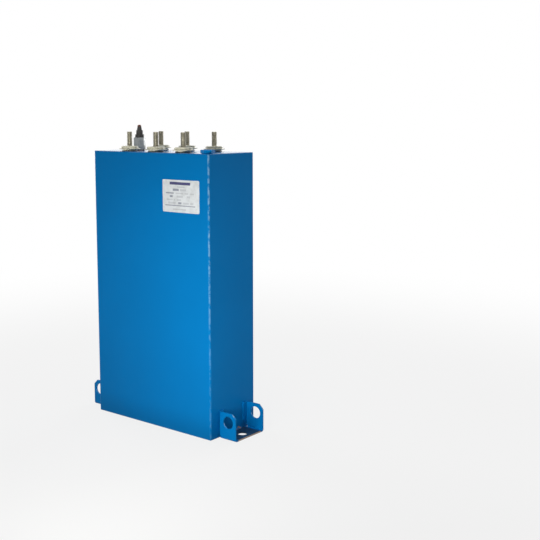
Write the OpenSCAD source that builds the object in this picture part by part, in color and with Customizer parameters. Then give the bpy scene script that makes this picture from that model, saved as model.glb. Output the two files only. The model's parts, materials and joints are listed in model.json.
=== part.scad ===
// Power film capacitor in a welded sheet-metal box.
// The origin is the centre of the underside, +Z is up, -Y is the face with the label.

/* [Case] */
// Width of the case, side to side
case_w = 340; // [330:5:380]
// Depth of the case, front to back
case_d = 142; // [138:2:170]
// Height of the case, underside to lid
case_h = 592; // [520:4:700]
// Thickness of the case sheet
sheet_t = 2; // [1.5:0.5:2.5]
// Outer radius of the four upright corner bends
corner_r = 4; // [3.5:0.5:6]
// Outer radius of the bend round the lid and the base
edge_r = 3; // [3:0.25:4]
// Height of the rim turned down from the lid
lid_rim = 12; // [10:1:20]
// Height of the rim turned up from the base
base_rim = 15; // [10:1:25]

/* [Feet] */
// Thickness of the foot sheet
foot_t = 3; // [2.5:0.5:4]
// Distance over the two wings of a foot
foot_span = 92; // [80:2:110]
// How far a foot stands out from the case
foot_reach = 46; // [42:1:60]
// Height of the wings
foot_h = 58; // [54:1:70]
// Cut across the outer top corner of each wing
foot_chamfer = 10; // [6:1:14]
// Inner radius of the folds
foot_bend_r = 2; // [1.5:0.5:3]
// Width of the weld flanges on the case
flange_w = 12; // [9:1:18]
// Height at which the weld flanges start
flange_z = 8; // [8:1:14]
// Diameter of the eye in each wing
eye_d = 26; // [18:1:28]
// Distance of the eyes from the case
eye_out = 26; // [24:1:27]
// Height of the eyes
eye_z = 38; // [34:1:39]
// Diameter of the fixing hole in the foot's floor
bolt_hole_d = 20; // [13:1:22]
// Distance of the fixing hole from the case
bolt_out = 26; // [20:1:30]

/* [Terminals] */
// Columns of terminals
columns = 3; // [2:1:3]
// Distance between the columns of terminals
column_pitch = 80; // [70:1:90]
// Distance of each row of terminals from the nearest case face
row_inset = 23; // [22:0.5:30]
// Diameter of the terminal stud's thread
stud_d = 12; // [10:1:14]
// Length of stud above the insulator
stud_reach = 30.5; // [20:0.5:45]
// Bevel at the stud's ends
stud_bevel = 1.2; // [0.5:0.1:1.5]
// Diameter of the stud's plain shank inside the insulator
shank_d = 14.5; // [14.5:0.5:16]
// Diameter of the collar moulded into the insulator
collar_d = 19; // [17:0.5:20]
// Thickness of that collar
collar_t = 4; // [2:0.5:5]
// Diameter of the insulator's wide lip
lip_d = 46; // [42:0.2:48]
// Thickness of the lip at its edge
lip_t = 1.8; // [1.2:0.1:2.4]
// Diameter of the insulator's upper disc
disc_d = 37.6; // [34:0.2:40]
// Height of the upper disc
disc_h = 3.8; // [3.4:0.1:7]
// Rounding of the upper disc's edge
disc_round = 1.6; // [0.8:0.1:2]
// Radius of the hollow between the lip and the disc
flare_r = 1.1; // [0.8:0.1:2]
// Rise of the crown from the disc to the stud
crown_h = 0.5; // [0.3:0.1:2]
// Diameter of the insulator's foot on its gasket
seat_d = 32; // [31:0.5:36]
// Height of the insulator's foot
seat_h = 2.8; // [2:0.2:5]
// Diameter of the threaded neck through the lid
neck_d = 24; // [22:0.5:25]
// Length of the neck below the lid
neck_below = 16; // [14:1:24]
// Thickness of the gasket
gasket_t = 1.5; // [1:0.5:3]
// Width across flats of the ring nut on the neck
ring_nut_af = 32; // [31:0.5:34]
// Height of the ring nut
ring_nut_h = 8; // [6:1:12]
// Width across flats of the stud's clamp nuts
nut_af = 19; // [18:0.5:22]
// Height of a clamp nut
nut_h = 10; // [8:0.5:12]
// Bevel on the corners of the nuts
nut_bevel = 1.2; // [0.6:0.2:2]
// Diameter of the washer under the lug
washer_d = 24; // [22:1:26]
// Thickness of that washer
washer_t = 2.5; // [1.5:0.5:3]
// Length of thread left free past the lower clamp nut
thread_over = 4; // [2:0.5:8]

/* [Pressure switch] */
// Distance of the switch from the left face of the case
switch_inset = 71; // [50:1:80]
// Width across flats of the switch body
switch_af = 23; // [19:1:27]
// Height of the switch body
switch_h = 27.5; // [22:0.5:36]
// Bevel on the corners of the body
switch_bevel = 2.4; // [1:0.2:3]
// Diameter of the threaded spigot
spigot_d = 14; // [12:1:16]
// Diameter of the boot's lower collar
boot_collar_d = 20; // [18:0.5:22]
// Height of that collar
boot_collar_h = 6.5; // [4:0.5:8]
// Diameter of the boot's middle step
boot_step_d = 15.5; // [14.5:0.5:17]
// Height of the middle step
boot_step_h = 9; // [6:0.5:12]
// Diameter of the nose at its foot
nose_d = 12; // [10.5:0.5:13]
// Diameter of the nose at its tip
nose_tip_d = 8; // [7.5:0.5:9]
// Height of the nose
nose_h = 11; // [8:0.5:16]
// Diameter of the terminal post inside the boot
post_d = 8; // [6:0.5:9]
// Diameter of the plug in the nose
tip_d = 6; // [4:0.5:6.5]
// How far the plug stands out of the nose
tip_out = 1.2; // [0.5:0.1:3]

/* [Filler plug] */
// Distance of the plug from the right face of the case
filler_side_inset = 17; // [17:0.5:30]
// Distance of the plug from the front face of the case
filler_front_inset = 17; // [17:0.5:19]
// Width across flats of the plug's head
filler_af = 26; // [24:0.5:27]
// Height of the plug's head
filler_h = 6.4; // [5:0.2:12]
// Turn of the head about its axis, as it was tightened
filler_turn = -17; // [-30:1:30]
// Bevel on the corners of the head
filler_bevel = 1.2; // [0.6:0.2:2]
// Diameter of the plug's threaded spigot
filler_spigot_d = 20; // [16:1:21]
// Thickness of the seals under the plug and the switch
seal_t = 1.2; // [0.8:0.1:2]
// Wall of the weld bushes under the lid
bush_wall = 4; // [3:0.5:4]
// Height of the weld bushes
bush_h = 12; // [8:1:18]

/* [Label] */
// Width of the rating label
label_w = 103; // [80:1:110]
// Height of the rating label
label_h = 67; // [50:1:80]
// Thickness of the label
label_t = 0.4; // [0.3:0.1:0.8]
// Corner radius of the label
label_r = 2.5; // [1:0.5:5]
// Distance from the label to the right face of the case
label_side = 25.5; // [15:0.5:40]
// Distance from the label to the lid
label_drop = 55; // [40:1:90]

/* [Windings] */
// Windings on top of each other in a stack
winding_rows = 4; // [2:1:6]
// Bore left by the winding arbor
arbor_d = 12; // [8:1:16]
// Free space between a winding and the boards beside it
winding_gap = 2; // [1:0.5:3]
// Space between the top of the stacks and the studs
head_gap = 15; // [10:1:30]
// Thickness of the insulating boards
board_t = 3; // [2:0.5:4]
// Thickness of the liner
liner_t = 1.5; // [1:0.5:2]
// How far liner and partitions stand above the stacks
liner_over = 8; // [4:1:12]
// Width of the copper straps
strap_w = 20; // [16:1:24]
// Thickness of the copper straps
strap_t = 1; // [0.8:0.1:1.5]
// Length of strap laid on the end faces of a winding
tab_length = 90; // [60:2:110]

/* [Fits] */
// Gap all round a part that passes through a hole
hole_gap = 0.3; // [0.2:0.1:0.5]
// Gap between a thread and its nut, or a moulding and its insert
thread_gap = 0.05; // [0.02:0.01:0.1]
// Gap between the liner and the case
liner_gap = 0.3; // [0.2:0.1:0.6]

/* [Hidden] */
$fn = 64;
COLUMN_NAMES = ["left", "centre", "right"];
eps = 0.01;

// Case
inner_w = case_w - 2 * sheet_t;
inner_d = case_d - 2 * sheet_t;
lid_under = case_h - sheet_t;
sheet_inner_r = corner_r - sheet_t;

// Terminals, counted upwards from the lid
row_y = case_d / 2 - row_inset;
seat_z = case_h + gasket_t;
lip_z = seat_z + seat_h;
flare_z = lip_z + lip_t;
disc_z = flare_z + flare_r;
disc_top = disc_z + disc_h;
crown_top = disc_top + crown_h;
stud_top = crown_top + stud_reach;
collar_z = case_h - collar_t / 2;
// and downwards from the lid
neck_end = lid_under - neck_below;
lug_top = neck_end - nut_h;
lug_z = lug_top - strap_t;
washer_z = lug_z - washer_t;
lower_nut_z = washer_z - nut_h;
stud_end = lower_nut_z - thread_over;

// Pressure switch
switch_x = switch_inset - case_w / 2;
body_z = case_h + seal_t;
boot_z = body_z + switch_h;
step_z = boot_z + boot_collar_h;
nose_z = step_z + boot_step_h;
nose_top = nose_z + nose_h;
post_h = boot_collar_h + boot_step_h / 2;
tip_in = nose_h / 2;

// Filler plug
filler_x = case_w / 2 - filler_side_inset;
filler_y = filler_front_inset - case_d / 2;

// Inside
lining = liner_gap + liner_t;
board_w = inner_w - 2 * lining - 2 * liner_gap;
board_d = inner_d - 2 * lining - 2 * liner_gap;
stack_z = sheet_t + board_t;
stack_top = stud_end - head_gap;
bay_w = (inner_w - 2 * lining - (columns - 1) * board_t) / columns;
bay_pitch = bay_w + board_t;
winding_w = bay_w - 2 * winding_gap;
winding_depth = inner_d - 2 * lining - 4 * winding_gap;
winding_h = (stack_top - stack_z - (winding_rows + 1) * strap_t) / winding_rows;
strap_y = winding_depth / 2 + winding_gap - strap_t;

function column_x(i) = (i - (columns - 1) / 2) * column_pitch;
function bay_x(i) = (i - (columns - 1) / 2) * bay_pitch;
function column_name(i) = columns == 3 ? COLUMN_NAMES[i] : COLUMN_NAMES[2 * i];
// Level of the joint below winding k, and above the last one
function joint_z(k) = stack_z + k * (winding_h + strap_t);

// ---- Shared shapes ----

// Rectangle with round corners, about the origin
module rounded_rect(w, d, r) {
    square([w - 2 * r, d], center = true);
    square([w, d - 2 * r], center = true);
    for (x = [-1, 1], y = [-1, 1])
        translate([x * (w / 2 - r), y * (d / 2 - r)]) circle(r);
}

// Block standing on z = 0 with round upright corners and a round lower edge
module pressed_block(w, d, h, r, edge) {
    // The side profiles stand a hair proud, so that the round edge meets the wall at a true corner
    proud = edge / 20;
    intersection() {
        linear_extrude(h) rounded_rect(w, d, r);
        rotate([90, 0, 0]) linear_extrude(d + 2, center = true) edge_profile(w, h, edge, proud);
        rotate([90, 0, 90]) linear_extrude(w + 2, center = true) edge_profile(d, h, edge, proud);
    }
}

// Upright profile of a block with its two lower corners rounded
module edge_profile(w, h, r, proud) {
    half = w / 2 + proud;
    translate([-half, r]) square([2 * half, h + 1 - r]);
    translate([-half + r, 0]) square([2 * (half - r), r + 1]);
    for (s = [-1, 1]) translate([s * (half - r), r]) circle(r);
}

// Shallow pressed pan, open at the top
module pan(h) {
    difference() {
        pressed_block(case_w, case_d, h, corner_r, edge_r);
        translate([0, 0, sheet_t])
            pressed_block(inner_w, inner_d, h, sheet_inner_r, edge_r - sheet_t);
    }
}

// Hexagon prism with its corners bevelled at the top, and at the bottom if asked
module hexagon(af, h, bevel, both = true) {
    corner = af / sqrt(3);
    low = both ? bevel : 0;
    intersection() {
        cylinder(r = corner, h = h, $fn = 6);
        rotate_extrude() polygon([
            [0, 0], [corner - low, 0], [corner, low / 2],
            [corner, h - bevel / 2], [corner - bevel, h], [0, h]
        ]);
    }
}

// ---- Case ----

module case_wrapper() {
    color("#0a68ac")
        translate([0, 0, base_rim])
        linear_extrude(case_h - lid_rim - base_rim)
        difference() {
            rounded_rect(case_w, case_d, corner_r);
            rounded_rect(inner_w, inner_d, sheet_inner_r);
        }
}

module base_pan() {
    color("#0a5f9e") pan(base_rim);
}

module lid() {
    color("#0d6fb4") difference() {
        translate([0, 0, case_h]) mirror([0, 0, 1]) pan(lid_rim);
        for (i = [0 : columns - 1], s = [-1, 1])
            translate([column_x(i), s * row_y, lid_under - 1])
                cylinder(d = neck_d + 2 * hole_gap, h = sheet_t + 2);
        translate([switch_x, 0, lid_under - 1]) cylinder(d = spigot_d + 2 * hole_gap, h = sheet_t + 2);
        translate([filler_x, filler_y, lid_under - 1])
            cylinder(d = filler_spigot_d + 2 * hole_gap, h = sheet_t + 2);
    }
}

module rating_label() {
    color("#d8dde0")
        translate([case_w / 2 - label_side - label_w / 2, -case_d / 2, case_h - label_drop - label_h / 2])
        rotate([90, 0, 0]) linear_extrude(label_t) rounded_rect(label_w, label_h, label_r);
}

// ---- Feet ----

// Channel section: a floor and two wings, folded from one sheet; u runs across, v up
module channel_section() {
    outer = foot_bend_r + foot_t;
    difference() {
        folded_corner_box(foot_span, foot_h, outer);
        translate([0, foot_t]) folded_corner_box(foot_span - 2 * foot_t, foot_h, foot_bend_r);
    }
}

// Open-topped box outline with its two lower corners rounded
module folded_corner_box(w, h, r) {
    translate([-w / 2, r]) square([w, h - r]);
    translate([r - w / 2, 0]) square([w - 2 * r, h]);
    for (s = [-1, 1]) translate([s * (w / 2 - r), r]) circle(r);
}

// Plan of one wing's inner end: it turns through the fold and lies on the case as the flange
module flange_plan() {
    outer = foot_bend_r + foot_t;
    difference() {
        union() {
            translate([0, outer]) square([foot_t, flange_w + foot_t - outer]);
            translate([outer, 0]) square([foot_t, foot_t]);
            intersection() {
                translate([outer, outer]) circle(outer);
                square(outer);
            }
        }
        translate([outer, outer]) circle(foot_bend_r);
    }
}

// One foot, folded from one sheet; the case's side face is x = 0 and the foot stands out along +X
module folded_foot() {
    fold = foot_bend_r + foot_t;
    wing_y = foot_span / 2;
    difference() {
        union() {
            // floor and wings, clear of the folds beside the case
            translate([fold, 0, 0]) rotate([90, 0, 90])
                linear_extrude(foot_reach - fold) channel_section();
            // the floor runs on to the case between the folds
            translate([0, fold - wing_y, 0]) cube([fold + 1, foot_span - 2 * fold, foot_t]);
            // flanges, cut at 45 degrees at their lower end
            for (s = [0, 1]) mirror([0, s, 0]) translate([0, -wing_y, 0]) difference() {
                translate([0, 0, flange_z]) linear_extrude(foot_h - flange_z) flange_plan();
                translate([-1, foot_t, flange_z]) rotate([45, 0, 0])
                    translate([0, 0, -2 * flange_w]) cube([foot_t + 2, 3 * flange_w, 2 * flange_w]);
            }
        }
        // outer top corners of the wings
        translate([foot_reach - foot_chamfer, 0, foot_h]) rotate([0, 45, 0])
            translate([0, -foot_span / 2 - 1, 0]) cube([2 * foot_chamfer, foot_span + 2, foot_chamfer]);
        // eyes through both wings
        translate([eye_out, foot_span / 2 + 1, eye_z]) rotate([90, 0, 0])
            cylinder(d = eye_d, h = foot_span + 2);
        // fixing hole
        translate([bolt_out, 0, -1]) cylinder(d = bolt_hole_d, h = foot_t + 2);
    }
}

module foot_right() {
    color("#0b6bb0") translate([case_w / 2, 0, 0]) folded_foot();
}

module foot_left() {
    color("#0b6bb0") mirror([1, 0, 0]) translate([case_w / 2, 0, 0]) folded_foot();
}

// ---- Terminals ----

// Half section of the stud, grown by gap where it makes the hole in the moulding
module stud_section(gap) {
    r = stud_d / 2 + gap;
    shank_r = shank_d / 2 + gap;
    bevel = gap > 0 ? 0 : stud_bevel;
    polygon([
        [0, stud_end], [r - bevel, stud_end], [r, stud_end + bevel],
        [r, neck_end + neck_below / 4], [shank_r, neck_end + neck_below / 4],
        [shank_r, collar_z - gap], [collar_d / 2 + gap, collar_z - gap],
        [collar_d / 2 + gap, collar_z + collar_t + gap], [shank_r, collar_z + collar_t + gap],
        [shank_r, crown_top], [r, crown_top],
        [r, stud_top - bevel], [r - bevel, stud_top], [0, stud_top]
    ]);
}

// Half section of the insulator before the stud's hole is taken out of it
module insulator_section() {
    translate([0, neck_end]) square([neck_d / 2, seat_z - neck_end + eps]);
    translate([0, seat_z]) square([seat_d / 2, seat_h + eps]);
    // lip with a round edge
    translate([0, lip_z]) square([lip_d / 2 - lip_t / 2, lip_t]);
    translate([lip_d / 2 - lip_t / 2, lip_z + lip_t / 2]) circle(d = lip_t);
    // hollow up to the disc
    difference() {
        translate([0, flare_z - eps]) square([disc_d / 2 + flare_r, flare_r + 2 * eps]);
        translate([disc_d / 2 + flare_r, disc_z]) circle(flare_r);
    }
    // disc with a round upper edge
    translate([0, disc_z]) square([disc_d / 2, disc_h - disc_round]);
    translate([0, disc_z]) square([disc_d / 2 - disc_round, disc_h]);
    translate([disc_d / 2 - disc_round, disc_top - disc_round]) circle(disc_round);
    // low crown up to the stud
    polygon([
        [0, disc_top - eps], [disc_d / 2 - 2 * disc_round, disc_top - eps],
        [shank_d / 2 + crown_h, crown_top], [0, crown_top]
    ]);
}

module insulator() {
    color("#c9c8b4") rotate_extrude() difference() {
        insulator_section();
        stud_section(thread_gap);
    }
}

module terminal_stud() {
    color("#9a9582") rotate_extrude() stud_section(0);
}

module gasket() {
    color("#2b2d2e") translate([0, 0, case_h]) difference() {
        cylinder(d = seat_d + 2, h = gasket_t);
        translate([0, 0, -1]) cylinder(d = neck_d + 2 * hole_gap, h = gasket_t + 2);
    }
}

// Copper strap of one terminal: runs down beside the stack and lies between the windings.
// s is -1 for the front row and 1 for the rear row, i counts the columns.
module strap(s, i) {
    first = s < 0 ? 0 : 1;
    foot_z = joint_z(first);
    reach = strap_y - row_y;
    color("#b87345") translate([column_x(i), 0, 0]) mirror([0, s < 0 ? 0 : 1, 0]) {
        difference() {
            union() {
                translate([-strap_w / 2, -strap_y - strap_t, foot_z])
                    cube([strap_w, strap_t, lug_top - foot_z]);
                for (k = [first : 2 : winding_rows])
                    translate([-strap_w / 2, -strap_y - strap_t, joint_z(k)])
                        cube([strap_w, strap_t + winding_gap + tab_length, strap_t]);
                translate([-strap_w / 2, -strap_y - strap_t, lug_z])
                    cube([strap_w, reach + strap_t, strap_t]);
                translate([0, -row_y, lug_z]) cylinder(d = strap_w, h = strap_t);
            }
            translate([0, -row_y, lug_z - 1]) cylinder(d = stud_d + 2 * hole_gap, h = strap_t + 2);
        }
    }
}

module at_terminals() {
    for (i = [0 : columns - 1], s = [-1, 1]) translate([column_x(i), s * row_y, 0]) children();
}

module ring_nuts() {
    color("#b9b08a") at_terminals() translate([0, 0, lid_under - ring_nut_h]) difference() {
        hexagon(ring_nut_af, ring_nut_h, nut_bevel);
        translate([0, 0, -1]) cylinder(d = neck_d + 2 * thread_gap, h = ring_nut_h + 2);
    }
}

module clamp_nuts() {
    color("#a8a9a6") at_terminals() for (z = [lug_top, lower_nut_z]) translate([0, 0, z]) difference() {
        hexagon(nut_af, nut_h, nut_bevel);
        translate([0, 0, -1]) cylinder(d = stud_d + 2 * thread_gap, h = nut_h + 2);
    }
}

module lug_washers() {
    color("#b3b4b1") at_terminals() translate([0, 0, washer_z]) difference() {
        cylinder(d = washer_d, h = washer_t);
        translate([0, 0, -1]) cylinder(d = stud_d + 2 * hole_gap, h = washer_t + 2);
    }
}

// ---- Pressure switch ----

module switch_body() {
    color("#8d9193") translate([switch_x, 0, 0]) {
        translate([0, 0, body_z]) hexagon(switch_af, switch_h, switch_bevel);
        translate([0, 0, lid_under - bush_h]) cylinder(d = spigot_d, h = bush_h + sheet_t + seal_t + 1);
        translate([0, 0, boot_z - 1]) cylinder(d = post_d, h = post_h + 1);
    }
}

module switch_boot() {
    color("#2f3031") translate([switch_x, 0, 0]) rotate_extrude() difference() {
        union() {
            translate([0, boot_z]) square([boot_collar_d / 2, boot_collar_h]);
            translate([0, step_z - eps]) square([boot_step_d / 2, boot_step_h + eps]);
            polygon([
                [0, nose_z - eps], [nose_d / 2, nose_z - eps], [nose_tip_d / 2, nose_top], [0, nose_top]
            ]);
        }
        translate([-eps, boot_z - 1]) square([post_d / 2 + thread_gap + eps, post_h + thread_gap + 1]);
        translate([-eps, nose_top - tip_in]) square([tip_d / 2 + thread_gap + eps, tip_in + 1]);
    }
}

module switch_tip() {
    color("#8a3b30") translate([switch_x, 0, nose_top - tip_in])
        cylinder(d = tip_d, h = tip_in + tip_out);
}

module switch_seal() {
    color("#7d5a3c") translate([switch_x, 0, case_h]) seal_ring(switch_af - 1, spigot_d);
}

module seal_ring(outer, spigot) {
    difference() {
        cylinder(d = outer, h = seal_t);
        translate([0, 0, -1]) cylinder(d = spigot + 2 * hole_gap, h = seal_t + 2);
    }
}

// Threaded bush welded to the underside of the lid
module weld_bush(bore) {
    translate([0, 0, lid_under - bush_h]) difference() {
        cylinder(d = bore + 2 * bush_wall, h = bush_h);
        translate([0, 0, -1]) cylinder(d = bore + 2 * thread_gap, h = bush_h + 2);
    }
}

module switch_bush() {
    color("#8f8f8b") translate([switch_x, 0, 0]) weld_bush(spigot_d);
}

// ---- Filler plug ----

module filler_plug() {
    color("#0e6fb6") translate([filler_x, filler_y, 0]) {
        translate([0, 0, case_h + seal_t]) rotate(filler_turn)
            hexagon(filler_af, filler_h, filler_bevel, false);
        translate([0, 0, lid_under - bush_h])
            cylinder(d = filler_spigot_d, h = bush_h + sheet_t + seal_t + 1);
    }
}

module filler_seal() {
    color("#0b5c99") translate([filler_x, filler_y, case_h]) seal_ring(filler_af, filler_spigot_d);
}

module filler_bush() {
    color("#8f8f8b") translate([filler_x, filler_y, 0]) weld_bush(filler_spigot_d);
}

// ---- Inside ----

module case_liner() {
    w = inner_w - 2 * liner_gap;
    d = inner_d - 2 * liner_gap;
    color("#b99a6b") translate([0, 0, stack_z]) linear_extrude(stack_top + liner_over - stack_z)
        difference() {
            rounded_rect(w, d, sheet_inner_r);
            square([w - 2 * liner_t, d - 2 * liner_t], center = true);
        }
}

module base_board() {
    color("#a98a5c") translate([0, 0, sheet_t]) linear_extrude(board_t)
        square([board_w, board_d], center = true);
}

// Upright boards between the stacks
module partition_boards() {
    color("#b0925f") for (i = [0 : columns - 2])
        translate([bay_x(i) + bay_pitch / 2, 0, stack_z])
            linear_extrude(stack_top + liner_over - stack_z) square([board_t, board_d], center = true);
}

// One flat-pressed winding of metallised film, with the bore of its arbor
module winding(i, k) {
    flat = winding_depth - winding_w;
    color("#d9d2b8") translate([bay_x(i), 0, joint_z(k) + strap_t]) linear_extrude(winding_h)
        difference() {
            union() {
                square([winding_w, flat], center = true);
                for (s = [-1, 1]) translate([0, s * flat / 2]) circle(d = winding_w);
            }
            circle(d = arbor_d);
        }
}

case_wrapper();
lid();
base_pan();
foot_left();
foot_right();
rating_label();
for (s = [-1, 1], i = [0 : columns - 1]) {
    place = str(s < 0 ? "front_" : "rear_", column_name(i));
    spot = [column_x(i), s * row_y, 0];
    translate(spot) insulator();
    translate(spot) terminal_stud();
    translate(spot) gasket();
    strap(s, i);
}
ring_nuts();
clamp_nuts();
lug_washers();
switch_body();
switch_boot();
switch_tip();
switch_seal();
switch_bush();
filler_plug();
filler_seal();
filler_bush();
case_liner();
base_board();
partition_boards();
for (i = [0 : columns - 1], k = [1 : winding_rows])
    winding(i, k - 1);
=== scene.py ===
import bpy
import math
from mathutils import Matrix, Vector
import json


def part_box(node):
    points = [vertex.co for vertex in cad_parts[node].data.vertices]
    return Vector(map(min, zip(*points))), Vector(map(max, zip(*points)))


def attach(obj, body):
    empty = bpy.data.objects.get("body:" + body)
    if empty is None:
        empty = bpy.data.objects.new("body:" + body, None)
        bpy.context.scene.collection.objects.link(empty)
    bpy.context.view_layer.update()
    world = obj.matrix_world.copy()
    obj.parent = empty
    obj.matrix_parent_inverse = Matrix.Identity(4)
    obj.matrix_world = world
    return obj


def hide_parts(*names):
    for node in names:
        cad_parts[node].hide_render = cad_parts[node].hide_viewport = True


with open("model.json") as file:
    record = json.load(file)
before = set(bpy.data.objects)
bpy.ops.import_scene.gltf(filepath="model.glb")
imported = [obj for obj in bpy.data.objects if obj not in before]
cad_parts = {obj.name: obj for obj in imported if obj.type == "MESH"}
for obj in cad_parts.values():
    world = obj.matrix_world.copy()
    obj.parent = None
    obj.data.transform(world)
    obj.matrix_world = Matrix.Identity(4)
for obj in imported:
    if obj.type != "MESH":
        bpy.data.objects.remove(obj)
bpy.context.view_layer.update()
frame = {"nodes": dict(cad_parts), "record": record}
print("frame loaded:", len(frame["nodes"]), "nodes")

mm = 0.001
rowNames = ["front", "rear"]
columnNames = ["left", "centre", "right"]
caseLow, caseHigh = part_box("case_wrapper")
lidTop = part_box("lid")[1].z
frontFace = caseLow.y
sideFace = caseHigh.x


camera = {
    "place": (1.4122, -1.4494, 0.6623),
    "azimuth": 38.24,
    "elevation": 7.15,
    "focal": 61.9,
    "sensor": 36.0,
    "shiftUp": -0.065,
    "nearest": 0.05,
    "farthest": 60,
}


def aimAlong(thing, direction):
    # cameras and lamps look down their own -Z
    thing.rotation_mode = "QUATERNION"
    thing.rotation_quaternion = direction.to_track_quat("-Z", "Y")


def addCamera():
    lens = bpy.data.cameras.new("camera")
    view = bpy.data.objects.new("camera", lens)
    bpy.context.scene.collection.objects.link(view)
    turn = math.radians(camera["azimuth"])
    tilt = math.radians(camera["elevation"])
    back = Vector((math.sin(turn) * math.cos(tilt), -math.cos(turn) * math.cos(tilt), math.sin(tilt)))
    view.location = camera["place"]
    aimAlong(view, -back)
    lens.lens = camera["focal"]
    lens.sensor_width = camera["sensor"]
    lens.shift_y = camera["shiftUp"]
    lens.clip_start = camera["nearest"]
    lens.clip_end = camera["farthest"]
    bpy.context.scene.camera = view


addCamera()
bpy.context.scene.view_settings.view_transform = "Standard"
print("camera set")


# short words for building node trees

def newTree(name):
    material = bpy.data.materials.new(name)
    material.use_nodes = True
    tree = material.node_tree
    return material, tree, tree.nodes["Principled BSDF"]


def put(tree, kind, **values):
    made = tree.nodes.new(kind)
    for key, value in values.items():
        setattr(made, key, value)
    return made


def feed(tree, value, spot):
    # a plain value is set on the socket, another socket is linked to it
    if isinstance(value, (int, float, tuple)):
        spot.default_value = value
    else:
        tree.links.new(value, spot)


def calc(tree, operation, first, second=None, clamp=False):
    step = put(tree, "ShaderNodeMath", operation=operation, use_clamp=clamp)
    feed(tree, first, step.inputs[0])
    if second is not None:
        feed(tree, second, step.inputs[1])
    return step.outputs[0]


def ramp(tree, value, low, high, toLow=0.0, toHigh=1.0, smooth=True):
    step = put(tree, "ShaderNodeMapRange", interpolation_type="SMOOTHSTEP" if smooth else "LINEAR")
    feed(tree, value, step.inputs["Value"])
    feed(tree, low, step.inputs["From Min"])
    feed(tree, high, step.inputs["From Max"])
    feed(tree, toLow, step.inputs["To Min"])
    feed(tree, toHigh, step.inputs["To Max"])
    return step.outputs["Result"]


def blendColors(tree, amount, first, second):
    step = put(tree, "ShaderNodeMix", data_type="RGBA")
    for spot, value in ((0, amount), (6, first), (7, second)):  # 6 and 7 are the colour sockets
        feed(tree, value, step.inputs[spot])
    return step.outputs[2]


def dimColor(tree, tone, share):
    step = put(tree, "ShaderNodeVectorMath", operation="SCALE")
    feed(tree, tone, step.inputs[0])
    feed(tree, share, step.inputs["Scale"])
    return step.outputs[0]


def noise(tree, spot, scale, detail):
    step = put(tree, "ShaderNodeTexNoise")
    feed(tree, spot, step.inputs["Vector"])
    feed(tree, scale, step.inputs["Scale"])
    feed(tree, detail, step.inputs["Detail"])
    return step.outputs["Fac"]


def objectSpot(tree):
    return put(tree, "ShaderNodeTexCoord").outputs["Object"]


def splitAxes(tree, value):
    step = put(tree, "ShaderNodeSeparateXYZ")
    feed(tree, value, step.inputs[0])
    return step.outputs


def facingAxes(tree):
    return splitAxes(tree, put(tree, "ShaderNodeNewGeometry").outputs["Normal"])


def dress(tree, shader, tone, skin, depth, strength):
    # tone, roughness and bump of a skin, onto the shader
    step = put(tree, "ShaderNodeBump")
    feed(tree, strength, step.inputs["Strength"])
    feed(tree, depth, step.inputs["Distance"])
    feed(tree, skin["Height"], step.inputs["Height"])
    feed(tree, tone, shader.inputs["Base Color"])
    feed(tree, skin["Roughness"], shader.inputs["Roughness"])
    feed(tree, step.outputs["Normal"], shader.inputs["Normal"])


def newGroup(name, takes, gives):
    group = bpy.data.node_groups.new(name, "ShaderNodeTree")
    for label, kind, value in takes:
        socket = group.interface.new_socket(name=label, in_out="INPUT", socket_type=kind)
        socket.default_value = value
    for label, kind in gives:
        group.interface.new_socket(name=label, in_out="OUTPUT", socket_type=kind)
    return group, put(group, "NodeGroupInput").outputs, put(group, "NodeGroupOutput").inputs


def useGroup(tree, group, **values):
    made = put(tree, "ShaderNodeGroup", node_tree=group)
    for key, value in values.items():
        feed(tree, value, made.inputs[key])
    return made.outputs


studio = {
    "floorSize": 40.0,
    "floorDrop": 0.3 * mm,
    "floorColor": (0.40, 0.40, 0.40, 1),
    "floorRough": 0.9,
    "floorGlow": 0.82,
    "fadeStart": 0.7,
    "fadeEnd": 2.2,
    "ambient": 0.12,
    "ambientColor": (1.0, 1.0, 1.0, 1),
    "backdrop": 1.0,
    "backdropColor": (1, 1, 1, 1),
}

lamps = {
    "nearRight": {"place": (0.42, -0.74, 0.25), "aim": (0.05, 0, 0.27), "size": (0.3, 0.3),
                  "watts": 3.2, "color": (1.0, 1.0, 0.92), "spread": 125},
    "sideRight": {"place": (1.20, 0.35, 0.34), "aim": (0.17, 0.05, 0.30), "size": (0.4, 0.4),
                  "watts": 1.6, "color": (1.0, 1.0, 1.0), "spread": 180},
    "frontStrip": {"place": (-0.15, -2.4, 0.64), "aim": (0, 0, 0.62), "size": (0.22, 0.5),
                   "watts": 2.6, "color": (1.0, 1.0, 1.0), "spread": 180},
    "topSoft": {"place": (0.2, -0.3, 2.4), "aim": (0, 0, 0.6), "size": (1.4, 1.2),
                "watts": 14, "color": (1.0, 1.0, 1.0), "spread": 180},
    "leftFill": {"place": (-2.4, 0.5, 1.0), "aim": (0, 0, 0.3), "size": (1.4, 1.4),
                 "watts": 45, "color": (1.0, 1.0, 1.0), "spread": 180},
    "rearFill": {"place": (-0.1, 2.6, 1.2), "aim": (0, 0, 0.3), "size": (1.4, 1.4),
                 "watts": 50, "color": (1.0, 1.0, 1.0), "spread": 180},
}


def addLamp(name, values):
    light = bpy.data.lights.new(name, "AREA")
    light.shape = "RECTANGLE"
    light.size, light.size_y = values["size"]
    light.energy = values["watts"]
    light.color = values["color"]
    light.spread = math.radians(values["spread"])
    lamp = bpy.data.objects.new(name, light)
    bpy.context.scene.collection.objects.link(lamp)
    lamp.visible_camera = False
    lamp.location = values["place"]
    aimAlong(lamp, Vector(values["aim"]) - Vector(values["place"]))


def seenRays(tree):
    # 1 for camera, glossy and transmission rays, which are shown the pale backdrop
    rays = put(tree, "ShaderNodeLightPath").outputs
    total = rays["Is Camera Ray"]
    for kind in ("Is Glossy Ray", "Is Transmission Ray"):
        total = calc(tree, "MAXIMUM", total, rays[kind])
    return total


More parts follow.
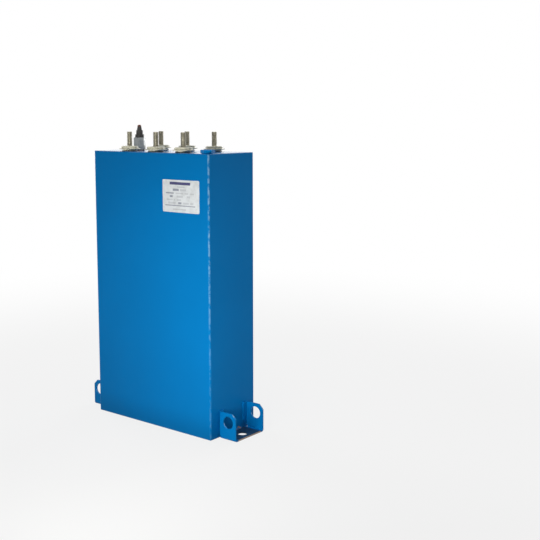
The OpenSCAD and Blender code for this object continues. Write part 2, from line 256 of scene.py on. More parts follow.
def addWorld():
    world = bpy.data.worlds.new("studio")
    bpy.context.scene.world = world
    world.use_nodes = True
    tree = world.node_tree
    tree.nodes.clear()
    mix = put(tree, "ShaderNodeMixShader")
    feed(tree, seenRays(tree), mix.inputs["Fac"])
    for spot, light in ((1, "ambient"), (2, "backdrop")):
        sky = put(tree, "ShaderNodeBackground")
        feed(tree, studio[light + "Color"], sky.inputs["Color"])
        feed(tree, studio[light], sky.inputs["Strength"])
        feed(tree, sky.outputs[0], mix.inputs[spot])
    feed(tree, mix.outputs[0], put(tree, "ShaderNodeOutputWorld").inputs["Surface"])


def addFloor():
    bpy.ops.object.select_all(action="DESELECT")
    bpy.ops.mesh.primitive_plane_add(size=studio["floorSize"], location=(0, 0, 0))
    floor = bpy.context.active_object
    floor.name = floor.data.name = "floor"
    # a hair under the object, so that the two never share a plane
    bpy.ops.transform.translate(value=(0, 0, -studio["floorDrop"]))
    material, tree, shader = newTree("studio_floor")
    feed(tree, studio["floorColor"], shader.inputs["Base Color"])
    feed(tree, studio["floorRough"], shader.inputs["Roughness"])
    feed(tree, 0.0, shader.inputs["Specular IOR Level"])
    # the floor glows white away from the object, and keeps the shadow near it
    glow = put(tree, "ShaderNodeEmission")
    feed(tree, studio["backdrop"], glow.inputs["Strength"])
    reach = put(tree, "ShaderNodeVectorMath", operation="LENGTH")
    feed(tree, objectSpot(tree), reach.inputs[0])
    fade = ramp(tree, reach.outputs["Value"], studio["fadeStart"], studio["fadeEnd"], studio["floorGlow"])
    mix = put(tree, "ShaderNodeMixShader")
    feed(tree, calc(tree, "MULTIPLY", fade, seenRays(tree)), mix.inputs["Fac"])
    feed(tree, shader.outputs[0], mix.inputs[1])
    feed(tree, glow.outputs[0], mix.inputs[2])
    feed(tree, mix.outputs[0], tree.nodes["Material Output"].inputs["Surface"])
    floor.data.materials.append(material)


addWorld()
addFloor()
for lampName, lampValues in lamps.items():
    addLamp(lampName, lampValues)
print("studio lit")


# effects that several finishes share, each a node group

number = "NodeSocketFloat"
colour = "NodeSocketColor"

coatTexture = {
    "driftScale": 5.0,
    "driftDetail": 3.0,
    "driftSpan": (0.3, 0.7),
    "peelDetail": 2.0,
    "speckScale": 60.0,
    "speckDetail": 6.0,
    "speckSpan": (0.35, 0.75),
    "speckRough": (-0.04, 0.08),
}


def makePaintFilm():
    # powder coat: slow drift of tone, fine orange peel, small dull specks
    group, take, give = newGroup(
        "paintFilm",
        [("Color", colour, (0.1, 0.2, 0.5, 1)), ("Drift", number, 0.1), ("Gloss", number, 0.35),
         ("Peel", number, 700.0)],
        [("Color", colour), ("Roughness", number), ("Height", number)])
    spot = objectSpot(group)
    slow = noise(group, spot, coatTexture["driftScale"], coatTexture["driftDetail"])
    drift = calc(group, "MULTIPLY", ramp(group, slow, *coatTexture["driftSpan"], -1.0, 1.0), take["Drift"])
    feed(group, dimColor(group, take["Color"], calc(group, "ADD", drift, 1.0)), give["Color"])
    feed(group, noise(group, spot, take["Peel"], coatTexture["peelDetail"]), give["Height"])
    specks = noise(group, spot, coatTexture["speckScale"], coatTexture["speckDetail"])
    dull = ramp(group, specks, *coatTexture["speckSpan"], *coatTexture["speckRough"])
    feed(group, calc(group, "ADD", take["Gloss"], dull, True), give["Roughness"])
    return group


wearHighlightTexture = {
    "patchDetail": 5.0,
    "patchSpan": (0.38, 0.62),
}


def makeWearAndHighlight():
    # a second colour blended in where the mask is high, broken up along its length: bare metal on the weld
    # bead, a painted highlight on the case edge and on the foot rims
    group, take, give = newGroup(
        "wearAndHighlight",
        [("Color", colour, (0.1, 0.2, 0.5, 1)), ("Bare", colour, (0.5, 0.5, 0.5, 1)),
         ("Mask", number, 0.0), ("Breakup", number, 90.0), ("Amount", number, 0.6)],
        [("Color", colour)])
    patches = noise(group, objectSpot(group), take["Breakup"], wearHighlightTexture["patchDetail"])
    wearHighlightMix = calc(group, "MULTIPLY", take["Mask"], ramp(group, patches, *wearHighlightTexture["patchSpan"]))
    wearHighlightMix = calc(group, "MULTIPLY", wearHighlightMix, take["Amount"], True)
    feed(group, blendColors(group, wearHighlightMix, take["Color"], take["Bare"]), give["Color"])
    return group


turnedTexture = {
    "squash": (0.04, 0.04, 1.0),
    "ringDetail": 3.0,
    "ringSpan": (0.3, 0.7),
    "ringRough": (-0.06, 0.1),
    "cloudScale": 130.0,
    "cloudDetail": 5.0,
    "cloudSpan": (0.42, 0.7),
    "dirtRough": 0.3,
}


def makeTurnedMetal():
    # fine rings left by the tool, stretched round the axis, over cloudy plating
    group, take, give = newGroup(
        "turnedMetal",
        [("Color", colour, (0.5, 0.5, 0.5, 1)), ("Stain", colour, (0.2, 0.18, 0.15, 1)),
         ("Rings", number, 3000.0), ("Polish", number, 0.35), ("Staining", number, 0.3)],
        [("Color", colour), ("Roughness", number), ("Height", number)])
    spot = objectSpot(group)
    squash = put(group, "ShaderNodeVectorMath", operation="MULTIPLY")
    feed(group, spot, squash.inputs[0])
    feed(group, turnedTexture["squash"], squash.inputs[1])
    rings = noise(group, squash.outputs[0], take["Rings"], turnedTexture["ringDetail"])
    clouds = noise(group, spot, turnedTexture["cloudScale"], turnedTexture["cloudDetail"])
    dirt = calc(group, "MULTIPLY", ramp(group, clouds, *turnedTexture["cloudSpan"]), take["Staining"])
    feed(group, blendColors(group, dirt, take["Color"], take["Stain"]), give["Color"])
    ringRough = ramp(group, rings, *turnedTexture["ringSpan"], *turnedTexture["ringRough"])
    rough = calc(group, "ADD", take["Polish"], ringRough)
    dirtRough = calc(group, "MULTIPLY", dirt, turnedTexture["dirtRough"])
    feed(group, calc(group, "ADD", rough, dirtRough, True), give["Roughness"])
    feed(group, rings, give["Height"])
    return group


mouldedTexture = {
    "cloudScale": 90.0,
    "cloudDetail": 4.0,
    "cloudSpan": (0.3, 0.7),
    "toneShare": (0.9, 1.08),
    "dustFacing": (0.2, 1.0),
    "dustShare": (0.3, 1.0),
    "dustRough": 0.6,
    "grainDetail": 2.0,
}


def makeMoulded():
    # moulded resin, rubber or plastic: cloudy tone, fine grain, a little dust on what faces up
    group, take, give = newGroup(
        "moulded",
        [("Color", colour, (0.5, 0.5, 0.5, 1)), ("Dust", colour, (0.6, 0.58, 0.52, 1)),
         ("Grain", number, 1500.0), ("Sheen", number, 0.4), ("Dusting", number, 0.15)],
        [("Color", colour), ("Roughness", number), ("Height", number)])
    spot = objectSpot(group)
    clouds = noise(group, spot, mouldedTexture["cloudScale"], mouldedTexture["cloudDetail"])
    upward = ramp(group, facingAxes(group)["Z"], *mouldedTexture["dustFacing"])
    dusty = ramp(group, clouds, *mouldedTexture["cloudSpan"], *mouldedTexture["dustShare"])
    dusty = calc(group, "MULTIPLY", calc(group, "MULTIPLY", dusty, upward), take["Dusting"])
    shade = ramp(group, clouds, *mouldedTexture["cloudSpan"], *mouldedTexture["toneShare"])
    toned = dimColor(group, take["Color"], shade)
    feed(group, blendColors(group, dusty, toned, take["Dust"]), give["Color"])
    dustRough = calc(group, "MULTIPLY", dusty, mouldedTexture["dustRough"])
    feed(group, calc(group, "ADD", take["Sheen"], dustRough, True), give["Roughness"])
    feed(group, noise(group, spot, take["Grain"], mouldedTexture["grainDetail"]), give["Height"])
    return group


paintFilm = makePaintFilm()
wearAndHighlight = makeWearAndHighlight()
turnedMetal = makeTurnedMetal()
moulded = makeMoulded()


paint = {
    "blue": (0.0008, 0.150, 0.43, 1),
    "drift": 0.03,
    "gloss": 0.42,
    "peel": 420.0,
    "peelDepth": 0.02 * mm,
    "peelStrength": 0.5,
    "gleam": 0.10,
    "gleamTint": (0.02, 0.75, 1.0, 1),
}

caseCoat = {
    # the pale colour and the numbers after it are a painted highlight on the front right edge
    "paintedHighlight": (0.36, 0.56, 0.66, 1),
    "paintedHighlightStart": 2.2 * mm,
    "paintedHighlightWidth": 1.6 * mm,
    "paintedHighlightHeights": (0.1, 0.5),
    "paintedHighlightLeast": 0.25,
    "paintedHighlightBreakup": 110.0,
    "paintedHighlightAmount": 0.45,
    "paintedLowShade": 0.80,
    "paintedShadeHeight": 60 * mm,
    "burnt": (0.30, 0.20, 0.15, 1),
    "burntPlace": 18.0 * mm,
    "burntRise": 2.0 * mm,
    "burntReach": (2.5 * mm, 5.5 * mm),
    "burntAmount": 0.9,
}

lidCoat = {
    "weight": 1.0,
    "rough": 0.12,
    "flatFacing": (0.6, 0.95),
}

foot = {
    "sheet": 3.0 * mm,
    "floorDarkTone": (0.022, 0.040, 0.060, 1),
    "floorDarkAmount": 0.85,
    "floorDarkRise": (0.2 * mm, 1.0 * mm),
    "floorDarkEnds": (34 * mm, 39 * mm),
    "bareSteel": (0.42, 0.31, 0.25, 1),
    "bareReach": (1.2 * mm, 0.2 * mm),
    "bareAmount": 0.9,
    # a painted highlight for the rims that face up and outwards
    "paintedRimHighlight": (0.40, 0.52, 0.60, 1),
    "rimSlope": (0.15, 0.4),
    "rimHeights": (14 * mm, 48 * mm),
    "rimBreakup": 120.0,
    "rimAmount": 0.6,
}


def paintMaterial(name, wearAndPaintedLight=None):
    material, tree, shader = newTree(name)
    film = useGroup(tree, paintFilm, Color=paint["blue"], Drift=paint["drift"], Gloss=paint["gloss"],
                    Peel=paint["peel"])
    tone = wearAndPaintedLight(tree, film["Color"]) if wearAndPaintedLight else film["Color"]
    dress(tree, shader, tone, film, paint["peelDepth"], paint["peelStrength"])
    feed(tree, paint["gleam"], shader.inputs["Specular IOR Level"])
    feed(tree, paint["gleamTint"], shader.inputs["Specular Tint"])
    return material


# a burnt patch beside the weld, with a painted shade low down and a painted highlight on the front right
# edge
def caseWearAndPaintedLight(tree, tone):
    spot = objectSpot(tree)
    axes = splitAxes(tree, spot)
    # painted shade: darker towards the floor, standing in for the dimmer reflection low on the case
    shade = ramp(tree, axes["Z"], 0.0, caseCoat["paintedShadeHeight"], caseCoat["paintedLowShade"], 1.0)
    tone = dimColor(tree, tone, shade)
    # coat burnt off the wall beside the weld of the right foot
    away = put(tree, "ShaderNodeVectorMath", operation="DISTANCE")
    feed(tree, spot, away.inputs[0])
    feed(tree, (sideFace, caseCoat["burntPlace"], foot["sheet"] + caseCoat["burntRise"]), away.inputs[1])
    burnt = ramp(tree, away.outputs["Value"], *caseCoat["burntReach"], caseCoat["burntAmount"], 0.0)
    tone = blendColors(tree, burnt, tone, caseCoat["burnt"])
    # a painted highlight on the front right upright edge, mostly in its upper half, standing in for the
    # lamp's reflection on its bend
    across = calc(tree, "SUBTRACT", sideFace, axes["X"])
    along = calc(tree, "SUBTRACT", axes["Y"], frontFace)
    start = caseCoat["paintedHighlightStart"]
    near = ramp(tree, calc(tree, "ADD", across, along), start, start + caseCoat["paintedHighlightWidth"], 1.0, 0.0)
    height = ramp(tree, axes["Z"], *caseCoat["paintedHighlightHeights"], caseCoat["paintedHighlightLeast"], 1.0)
    wearHighlightMix = useGroup(tree, wearAndHighlight, Color=tone, Bare=caseCoat["paintedHighlight"],
                    Mask=calc(tree, "MULTIPLY", near, height),
                    Breakup=caseCoat["paintedHighlightBreakup"], Amount=caseCoat["paintedHighlightAmount"])
    return wearHighlightMix["Color"]


def lidMaterial(name):
    # the case's paint, with a glossy clear coat where the lid faces up
    material = paintMaterial(name, caseWearAndPaintedLight)
    tree = material.node_tree
    shader = tree.nodes["Principled BSDF"]
    weight = ramp(tree, facingAxes(tree)["Z"], *lidCoat["flatFacing"], 0.0, lidCoat["weight"])
    feed(tree, weight, shader.inputs["Coat Weight"])
    feed(tree, lidCoat["rough"], shader.inputs["Coat Roughness"])
    return material


# a darker floor and bare cut edge on each foot, with a painted highlight on the rims
def footWearAndPaintedLight(tree, tone):
    axes = splitAxes(tree, objectSpot(tree))
    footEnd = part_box("foot_right")[1].x
    # the floor of each foot is darker, and bare along its cut edge
    rises = [foot["sheet"] + rise for rise in foot["floorDarkRise"]]
    low = ramp(tree, axes["Z"], *rises, 1.0, 0.0)
    middle = ramp(tree, calc(tree, "ABSOLUTE", axes["Y"]), *foot["floorDarkEnds"], 1.0, 0.0)
    floorMask = calc(tree, "MULTIPLY", low, middle)
    darkened = calc(tree, "MULTIPLY", floorMask, foot["floorDarkAmount"])
    tone = blendColors(tree, darkened, tone, foot["floorDarkTone"])
    reaches = [footEnd - reach for reach in foot["bareReach"]]
    edge = ramp(tree, calc(tree, "ABSOLUTE", axes["X"]), *reaches)
    bare = calc(tree, "MULTIPLY", calc(tree, "MULTIPLY", edge, floorMask), foot["bareAmount"])
    tone = blendColors(tree, bare, tone, foot["bareSteel"])
    # painted highlight on the sheared rims that face up and outwards
    facing = facingAxes(tree)
    slope = calc(tree, "MULTIPLY", calc(tree, "ABSOLUTE", facing["X"]), facing["Z"])
    mask = calc(tree, "MULTIPLY", ramp(tree, slope, *foot["rimSlope"]),
                ramp(tree, axes["Z"], *foot["rimHeights"]))
    wearHighlightMix = useGroup(tree, wearAndHighlight, Color=tone, Bare=foot["paintedRimHighlight"], Mask=mask,
                    Breakup=foot["rimBreakup"], Amount=foot["rimAmount"])
    return wearHighlightMix["Color"]


metalSkin = {
    "paintedShadeBlend": 0.75,
    "bumpStrength": 0.6,
}

# the last number of each metal is how much of its tone the painted side shade takes away
metal = {
    "stud_metal": {"color": (0.49, 0.46, 0.36, 1), "stain": (0.18, 0.165, 0.12, 1), "rings": 1500.0,
                   "polish": 0.32, "staining": 0.3, "depth": 0.003 * mm, "paintedSideShade": 0.68},
    "switch_zinc": {"color": (0.34, 0.36, 0.365, 1), "stain": (0.15, 0.16, 0.165, 1), "rings": 1200.0,
                    "polish": 0.34, "staining": 0.35, "depth": 0.004 * mm, "paintedSideShade": 0.5},
    "inner_steel": {"color": (0.55, 0.55, 0.53, 1), "stain": (0.3, 0.29, 0.27, 1), "rings": 1500.0,
                    "polish": 0.35, "staining": 0.3, "depth": 0.01 * mm, "paintedSideShade": 0.5},
    "ring_nut_brass": {"color": (0.72, 0.55, 0.27, 1), "stain": (0.35, 0.24, 0.1, 1), "rings": 1500.0,
                       "polish": 0.35, "staining": 0.4, "depth": 0.01 * mm, "paintedSideShade": 0.5},
    "seal_copper": {"color": (0.20, 0.125, 0.09, 1), "stain": (0.2, 0.1, 0.06, 1), "rings": 900.0,
                    "polish": 0.45, "staining": 0.5, "depth": 0.01 * mm, "paintedSideShade": 0.5},
    "strap_copper": {"color": (0.78, 0.40, 0.24, 1), "stain": (0.4, 0.2, 0.12, 1), "rings": 900.0,
                     "polish": 0.35, "staining": 0.4, "depth": 0.01 * mm, "paintedSideShade": 0.5},
}


def metalMaterial(name, values):
    material, tree, shader = newTree(name)
    turned = useGroup(tree, turnedMetal, Color=values["color"], Stain=values["stain"],
                      Rings=values["rings"], Polish=values["polish"], Staining=values["staining"])
    # painted shade, a look and not a property of the metal: its tone falls where it turns away from the
    # view
    side = put(tree, "ShaderNodeLayerWeight")
    feed(tree, metalSkin["paintedShadeBlend"], side.inputs["Blend"])
    share = ramp(tree, side.outputs["Facing"], 0.0, 1.0, 1.0, 1.0 - values["paintedSideShade"], smooth=False)
    tone = dimColor(tree, turned["Color"], share)
    dress(tree, shader, tone, turned, values["depth"], metalSkin["bumpStrength"])
    feed(tree, 1.0, shader.inputs["Metallic"])
    return material


moulding = {
    "insulator_resin": {"color": (0.60, 0.585, 0.465, 1), "grain": 600.0, "sheen": 0.45,
                        "dusting": 0.12, "depth": 0.004 * mm, "gleam": 0.5},
    # the gasket is dark rubber, its blue-grey tint a painted reflection of the blue lid and the shade
    # under the insulator lip
    "gasket_rubber": {"color": (0.045, 0.07, 0.095, 1), "grain": 1500.0, "sheen": 0.6,
                      "dusting": 0.1, "depth": 0.03 * mm, "gleam": 0.4},
    "boot_rubber": {"color": (0.030, 0.028, 0.027, 1), "grain": 1200.0, "sheen": 0.5,
                    "dusting": 0.2, "depth": 0.01 * mm, "gleam": 0.4},
    "tip_plastic": {"color": (0.30, 0.065, 0.045, 1), "grain": 900.0, "sheen": 0.45,
                    "dusting": 0.1, "depth": 0.02 * mm, "gleam": 0.45},
    "pressboard": {"color": (0.47, 0.33, 0.18, 1), "grain": 500.0, "sheen": 0.75,
                   "dusting": 0.05, "depth": 0.08 * mm, "gleam": 0.3},
    "winding_film": {"color": (0.66, 0.61, 0.47, 1), "grain": 300.0, "sheen": 0.3,
                     "dusting": 0.0, "depth": 0.05 * mm, "gleam": 0.5},
}

mouldingBump = 0.5

bootMouth = {
    "color": (0.13, 0.045, 0.03, 1),
    "depth": 3.6 * mm,
    "amount": 0.9,
}

label = {
    "foil": (0.62, 0.645, 0.69, 1),
    "rim": (0.73, 0.74, 0.755, 1),
    "rimWidth": 1.8 * mm,
    "bold": (0.06, 0.06, 0.16, 1),
    "dark": (0.27, 0.29, 0.36, 1),
    "pale": (0.48, 0.50, 0.55, 1),
    "skin": {"grain": 1500.0, "sheen": 0.5, "dusting": 0.0, "depth": 0.01 * mm, "gleam": 0.3},
    "bump": 0.3,
}


def mouldedMaterial(name, tint, values, strength, before=None, after=None):
    # before changes the tint that goes into the skin, after the tone that comes out of it
    material, tree, shader = newTree(name)
    base = before(tree, tint) if before else tint
    skin = useGroup(tree, moulded, Color=base, Grain=values["grain"], Sheen=values["sheen"],
                    Dusting=values["dusting"])
    tone = after(tree, skin["Color"]) if after else skin["Color"]
    dress(tree, shader, tone, skin, values["depth"], strength)
    feed(tree, values["gleam"], shader.inputs["Specular IOR Level"])
    return material


def redMouth(tree, tone):
    # the mouth of the boot has taken on the red brown of the tip it holds
    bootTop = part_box("switch_boot")[1].z
    depth = bootMouth["depth"]
    upward = splitAxes(tree, objectSpot(tree))["Z"]
    near = ramp(tree, upward, bootTop - depth, bootTop - depth / 2, 0.0, bootMouth["amount"])
    return blendColors(tree, near, tone, bootMouth["color"])


def paleRim(tree, tint):
    # the unprinted margin round the label is a shade lighter
    labelLow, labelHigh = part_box("rating_label")
    middle = (labelLow + labelHigh) / 2
    axes = splitAxes(tree, objectSpot(tree))
    margins = []
    for axis, centre, end in (("X", middle.x, labelHigh.x), ("Z", middle.z, labelHigh.z)):
        away = calc(tree, "ABSOLUTE", calc(tree, "SUBTRACT", axes[axis], centre))
        margins.append(ramp(tree, away, end - centre - label["rimWidth"], end - centre))
    return blendColors(tree, calc(tree, "MAXIMUM", *margins), tint, label["rim"])


materials = {
    "case_paint": paintMaterial("case_paint", caseWearAndPaintedLight),
    "foot_paint": paintMaterial("foot_paint", footWearAndPaintedLight),
    "plug_paint": paintMaterial("plug_paint"),
    "lid_paint": lidMaterial("lid_paint"),
    "label_foil": mouldedMaterial("label_foil", label["foil"], label["skin"], label["bump"],
                                  before=paleRim),
}
for inkTone in ("bold", "dark", "pale"):
    inkName = "ink_" + inkTone
    materials[inkName] = mouldedMaterial(inkName, label[inkTone], label["skin"], label["bump"])
for metalName, metalValues in metal.items():
    materials[metalName] = metalMaterial(metalName, metalValues)
for mouldedName, mouldedValues in moulding.items():
    mouthTone = redMouth if mouldedName == "boot_rubber" else None
    materials[mouldedName] = mouldedMaterial(mouldedName, mouldedValues["color"], mouldedValues,
                                             mouldingBump, after=mouthTone)


def dressNodes():
    slotOf = {part["node"]: part["material_slot"] for part in frame["record"]["subparts"]}
    for nodeName, piece in frame["nodes"].items():
        piece.data.materials.clear()
        # the lid takes the case's paint with its glossy top
        finish = "lid_paint" if nodeName == "lid" else slotOf[nodeName]
        piece.data.materials.append(materials[finish])


dressNodes()
print("materials made:", len(materials))


# short words for modelling

mergeGap = 0.01 * mm


def clearPick():
    if bpy.context.mode != "OBJECT":
        bpy.ops.object.mode_set(mode="OBJECT")
    bpy.ops.object.select_all(action="DESELECT")


def pickOnly(piece):
    clearPick()
    piece.select_set(True)
    bpy.context.view_layer.objects.active = piece


def editAll(piece):
    pickOnly(piece)
    bpy.ops.object.mode_set(mode="EDIT")
    bpy.ops.mesh.select_all(action="SELECT")


def bisectEach(planes):
    # the mesh beyond each plane is cut away and the cut is filled
    for place, outward in planes:
        bpy.ops.mesh.select_all(action="SELECT")
        bpy.ops.mesh.bisect(plane_co=place, plane_no=outward, use_fill=True, clear_outer=True)


def closeMesh(gap):
    # doubles merged and faces turned outwards, then back to object mode
    bpy.ops.mesh.select_all(action="SELECT")
    bpy.ops.mesh.remove_doubles(threshold=gap)
    bpy.ops.mesh.normals_make_consistent(inside=False)
    bpy.ops.object.mode_set(mode="OBJECT")


def applyAll(piece):
    pickOnly(piece)
    for modifier in list(piece.modifiers):
        bpy.ops.object.modifier_apply(modifier=modifier.name)


def settle(piece, name):
    # place, turn and size go into the mesh, then the object keeps its final name
    pickOnly(piece)
    bpy.ops.object.transform_apply(location=True, rotation=True, scale=True)
    piece.name = name
    piece.data.name = name


def smooth(piece, degrees):
    pickOnly(piece)
    bpy.ops.object.shade_smooth_by_angle(angle=math.radians(degrees))


def cutWith(piece, tool, operation):
    step = piece.modifiers.new("cut", "BOOLEAN")
    step.operation = operation
    step.solver = "EXACT"
    step.object = tool
    applyAll(piece)
    bpy.data.objects.remove(tool)


def addProfile(name, outline):
    # an open line through radius and height pairs, beside the upright axis
    mesh = bpy.data.meshes.new(name)
    mesh.from_pydata([(radius, 0, height) for radius, height in outline],
                     [(k, k + 1) for k in range(len(outline) - 1)], [])
    piece = bpy.data.objects.new(name, mesh)
    bpy.context.scene.collection.objects.link(piece)
    return piece


studs = {
    "crest": 5.96 * mm,
    "root": 4.98 * mm,
    "pitch": 1.75 * mm,
    "flanks": (0.22, 0.58, 0.66),
    "crestSpare": 0.1 * mm,
    "spareTurns": 3,
    "turnSteps": 32,
    "bevel": 1.2 * mm,
    "barSteps": 48,
    "barSpare": 1.0 * mm,
    "barMerge": 0.005 * mm,
    "shank": 7.2 * mm,
    "shankEdge": 0.3 * mm,
    "collar": 9.45 * mm,
    "collarHeight": 3.9 * mm,
    "neckDown": 28.0 * mm,
    "runOut": 1.0 * mm,
    "rootEase": 0.2 * mm,
    "overlap": 0.1 * mm,
    "topTrim": 0.01 * mm,
    "smoothAngle": 24,
    "homeTurn": 0.9,
}


def lathe(name, outline):
    # the outline is spun once round the upright axis
    piece = addProfile(name, outline)
    editAll(piece)
    bpy.ops.mesh.spin(steps=studs["barSteps"], angle=2 * math.pi, center=(0, 0, 0), axis=(0, 0, 1))
    closeMesh(studs["barMerge"])
    return piece


def sweepThread(threadLow, threadHigh):
    # one turn of thread profile, swept up the axis well past both ends, then trimmed
    pitch = studs["pitch"]
    rise, top, fall = [share * pitch for share in studs["flanks"]]
    crest, root = studs["crest"] + studs["crestSpare"], studs["root"]
    thread = addProfile("thread", [(root, 0.0), (root, rise), (crest, top), (crest, fall), (root, pitch)])
    thread.location.z = threadLow - studs["spareTurns"] * pitch
    step = thread.modifiers.new("screw", "SCREW")
    step.axis = "Z"
    step.steps = step.render_steps = studs["turnSteps"]
    step.iterations = int((threadHigh - threadLow) / pitch) + 2 * studs["spareTurns"]
    step.screw_offset = pitch
    step.use_merge_vertices = True
    step.merge_threshold = mergeGap
    applyAll(thread)
    pickOnly(thread)
    bpy.ops.object.transform_apply(location=True)
    bpy.ops.object.mode_set(mode="EDIT")
    bisectEach([((0, 0, threadLow), (0, 0, -1)), ((0, 0, threadHigh - studs["topTrim"]), (0, 0, 1))])
    closeMesh(mergeGap)
    return thread


def modelStud():
    studLow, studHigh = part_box("terminal_stud_front_centre")
    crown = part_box("insulator_front_centre")[1].z
    crest, root, shank, bevel = studs["crest"], studs["root"], studs["shank"], studs["bevel"]
    threadLow = crown + studs["runOut"]
    stud = sweepThread(threadLow, studHigh.z)
    # the bar the thread is cut from, with its bevelled end
    barLow = threadLow - studs["barSpare"]
    bar = lathe("blank", [(0, barLow), (crest, barLow), (crest, studHigh.z - bevel),
                          (crest - bevel, studHigh.z), (0, studHigh.z)])
    cutWith(stud, bar, "INTERSECT")
    # plain shank, collar and lower end
    collarLow = lidTop - studs["collarHeight"] / 2
    collarHigh = collarLow + studs["collarHeight"]
    neck = studLow.z + studs["neckDown"]
    bodyTop = threadLow + studs["overlap"]
    body = lathe("shank", [
        (0, studLow.z), (crest - bevel, studLow.z), (crest, studLow.z + bevel),
        (crest, neck), (shank, neck), (shank, collarLow),
        (studs["collar"], collarLow), (studs["collar"], collarHigh), (shank, collarHigh),
        (shank, crown - studs["shankEdge"]), (shank - studs["shankEdge"], crown),
        (root + studs["rootEase"], crown), (root, crown + studs["rootEase"]),
        (root, bodyTop), (0, bodyTop)])
    cutWith(stud, body, "UNION")
    smooth(stud, studs["smoothAngle"])
    return stud


def addStuds():
    first = modelStud()
    for rowIndex, row in enumerate(rowNames):
        for columnIndex, column in enumerate(columnNames):
            node = "terminal_stud_" + row + "_" + column
            nodeLow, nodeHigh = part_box(node)
            middle = (nodeLow + nodeHigh) / 2
            piece = first.copy()
            piece.data = first.data.copy()
            bpy.context.scene.collection.objects.link(piece)
            # each stud was screwed home at its own turn
            turn = studs["homeTurn"] * (1 + columnIndex + len(columnNames) * rowIndex)
            piece.rotation_euler = (0, 0, turn)
            piece.location = (middle.x, middle.y, 0)
            settle(piece, "threaded_stud_" + row + "_" + column)
            piece.data.materials.clear()
            piece.data.materials.append(materials["stud_metal"])
            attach(piece, "root")
            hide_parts(node)
    bpy.data.objects.remove(first)


addStuds()
print("studs threaded")


plate = {
    "corner": 2.5 * mm,
    "cornerSteps": 6,
    "edge": 0.12 * mm,
    "edgeSteps": 2,
    "inkProud": 0.04 * mm,
    "sink": 0.05 * mm,
    "barCorner": 0.3 * mm,
    "barCornerSteps": 2,
}

# generic bars: left, right, top and bottom as shares of the label, then the tone
printRows = [
    (0.20, 0.76, 0.065, 0.150, "bold"),
    (0.41, 0.61, 0.200, 0.230, "pale"),
    (0.285, 0.45, 0.270, 0.340, "dark"), (0.48, 0.65, 0.275, 0.335, "pale"),
    (0.09, 0.31, 0.390, 0.430, "dark"), (0.36, 0.56, 0.390, 0.430, "pale"),
    (0.61, 0.70, 0.390, 0.430, "pale"), (0.75, 0.86, 0.390, 0.430, "pale"),
    (0.20, 0.28, 0.480, 0.540, "dark"), (0.39, 0.56, 0.480, 0.540, "pale"),
    (0.67, 0.75, 0.480, 0.540, "pale"),
    (0.11, 0.28, 0.590, 0.640, "pale"), (0.31, 0.34, 0.590, 0.640, "pale"),
    (0.40, 0.51, 0.590, 0.640, "pale"),
    (0.155, 0.36, 0.680, 0.740, "pale"), (0.43, 0.52, 0.680, 0.740, "dark"),
    (0.56, 0.72, 0.680, 0.740, "pale"), (0.76, 0.84, 0.680, 0.740, "pale"),
    (0.07, 0.89, 0.775, 0.805, "dark"),
    (0.285, 0.64, 0.885, 0.925, "pale"),
]


def flatPanel(name, left, right, bottom, top, corner, segments):
    # a plane stood up facing the front, with its corners rounded
    clearPick()
    bpy.ops.mesh.primitive_plane_add(size=1, location=((left + right) / 2, 0, (bottom + top) / 2),
                                     rotation=(math.pi / 2, 0, 0))
    panel = bpy.context.active_object
    panel.scale = (right - left, top - bottom, 1)
    bpy.ops.object.transform_apply(location=True, rotation=True, scale=True)
    bpy.ops.object.mode_set(mode="EDIT")
    bpy.ops.mesh.select_all(action="SELECT")
    bpy.ops.mesh.bevel(offset=corner, segments=segments, affect="VERTICES")
    bpy.ops.object.mode_set(mode="OBJECT")
    panel.name = name
    return panel


def pullOut(panel, back, front, edge=0.0):
    # the panel becomes a closed sheet between two depths, its front rim eased if it has an edge
    editAll(panel)
    bpy.ops.transform.translate(value=(0, back, 0))
    bpy.ops.mesh.extrude_region_move(TRANSFORM_OT_translate={"value": (0, front - back, 0)})
    if edge:
        bpy.ops.mesh.bevel(offset=edge, segments=plate["edgeSteps"], affect="EDGES")
    bpy.ops.mesh.select_all(action="SELECT")
    bpy.ops.mesh.normals_make_consistent(inside=False)
    bpy.ops.object.mode_set(mode="OBJECT")


def addBar(row, labelLow, labelHigh):
    left, right, top, bottom = row[:4]
    width, height = labelHigh.x - labelLow.x, labelHigh.z - labelLow.z
    bar = flatPanel("bar", labelLow.x + left * width, labelLow.x + right * width,
                    labelHigh.z - bottom * height, labelHigh.z - top * height,
                    plate["barCorner"], plate["barCornerSteps"])
    pullOut(bar, labelLow.y + plate["inkProud"] + plate["sink"], labelLow.y)
    return bar


def addLabel():
    labelLow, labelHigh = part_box("rating_label")
    base = flatPanel("label_plate", labelLow.x, labelHigh.x, labelLow.z, labelHigh.z,
                     plate["corner"], plate["cornerSteps"])
    pullOut(base, labelHigh.y, labelLow.y + plate["inkProud"], plate["edge"])
    settle(base, "label_plate")
    base.data.materials.append(materials["label_foil"])
    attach(base, "root")
    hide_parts("rating_label")
    for tone in ("bold", "dark", "pale"):
        bars = [addBar(row, labelLow, labelHigh) for row in printRows if row[4] == tone]
        clearPick()
        for bar in bars:
            bar.select_set(True)
        bpy.context.view_layer.objects.active = bars[0]
        if len(bars) > 1:
            bpy.ops.object.join()
        settle(bars[0], "label_bars_" + tone)
        bars[0].data.materials.append(materials["ink_" + tone])
        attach(bars[0], "root")


addLabel()
print("label printed")


weld = {
    "radius": 2.6 * mm,
    "segments": 20,
    "rings": 12,
    "facetTurn": 20,
    "pitch": 2.3 * mm,
    "reach": 27.0 * mm,
    "sink": 0.3 * mm,
    "voxel": 0.4 * mm,
    "smoothAngle": 60,
    "bare": (0.34, 0.22, 0.17, 1),
    "bareShare": 0.85,
    "bareEnd": 27.0 * mm,
    "bareFade": 4 * mm,
    "bareBreakup": 160.0,
    "gloss": 0.45,
    "depth": 0.1 * mm,
    "bumpStrength": 0.5,
}


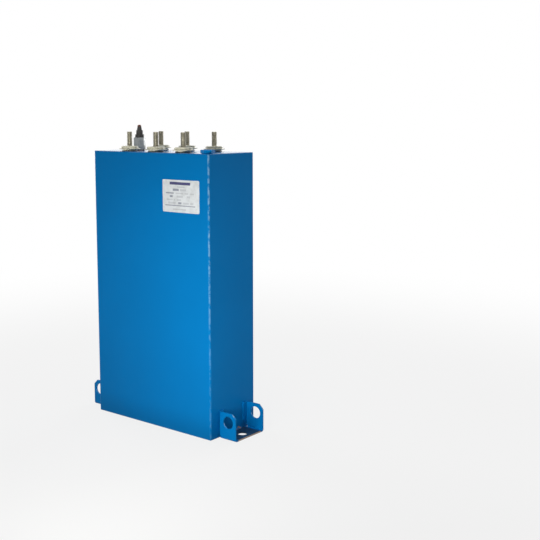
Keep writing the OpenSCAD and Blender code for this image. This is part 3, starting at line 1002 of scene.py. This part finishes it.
def weldMaterial():
    material, tree, shader = newTree("weld_bead")
    film = useGroup(tree, paintFilm, Color=paint["blue"], Drift=paint["drift"], Gloss=weld["gloss"],
                    Peel=paint["peel"])
    along = splitAxes(tree, objectSpot(tree))["Y"]
    mask = ramp(tree, along, weld["bareEnd"] - weld["bareFade"], weld["bareEnd"], 1.0, 0.0)
    wearHighlightMix = useGroup(tree, wearAndHighlight, Color=film["Color"], Bare=weld["bare"], Mask=mask,
                    Breakup=weld["bareBreakup"], Amount=weld["bareShare"])
    dress(tree, shader, wearHighlightMix["Color"], film, weld["depth"], weld["bumpStrength"])
    feed(tree, paint["gleam"], shader.inputs["Specular IOR Level"])
    return material


def addWelds():
    # one bead of overlapping drops where the floor of a foot meets the case
    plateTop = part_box("foot_right")[0].z + foot["sheet"]
    finish = weldMaterial()
    for side, facing in (("right", 1), ("left", -1)):
        start = (facing * sideFace, -weld["reach"], plateTop)
        clearPick()
        bpy.ops.mesh.primitive_uv_sphere_add(segments=weld["segments"], ring_count=weld["rings"],
                                             radius=weld["radius"], location=start)
        bead = bpy.context.active_object
        bpy.ops.object.mode_set(mode="EDIT")
        bpy.ops.mesh.select_all(action="SELECT")
        bpy.ops.transform.rotate(value=math.radians(weld["facetTurn"]), orient_axis="Z",
                                 center_override=start)
        bpy.ops.object.mode_set(mode="OBJECT")
        row = bead.modifiers.new("row", "ARRAY")
        row.use_relative_offset = False
        row.use_constant_offset = True
        row.constant_offset_displace = (0, weld["pitch"], 0)
        row.count = int(2 * weld["reach"] / weld["pitch"]) + 1
        skin = bead.modifiers.new("skin", "REMESH")
        skin.mode = "VOXEL"
        skin.voxel_size = weld["voxel"]
        applyAll(bead)
        settle(bead, "foot_weld_" + side)
        bpy.ops.object.mode_set(mode="EDIT")
        wall = (facing * (sideFace - weld["sink"]), 0, 0)
        bisectEach([(wall, (-facing, 0, 0)), ((0, 0, plateTop - weld["sink"]), (0, 0, -1))])
        closeMesh(mergeGap)
        smooth(bead, weld["smoothAngle"])
        bead.data.materials.append(finish)
        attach(bead, "root")


addWelds()
print("welds laid")
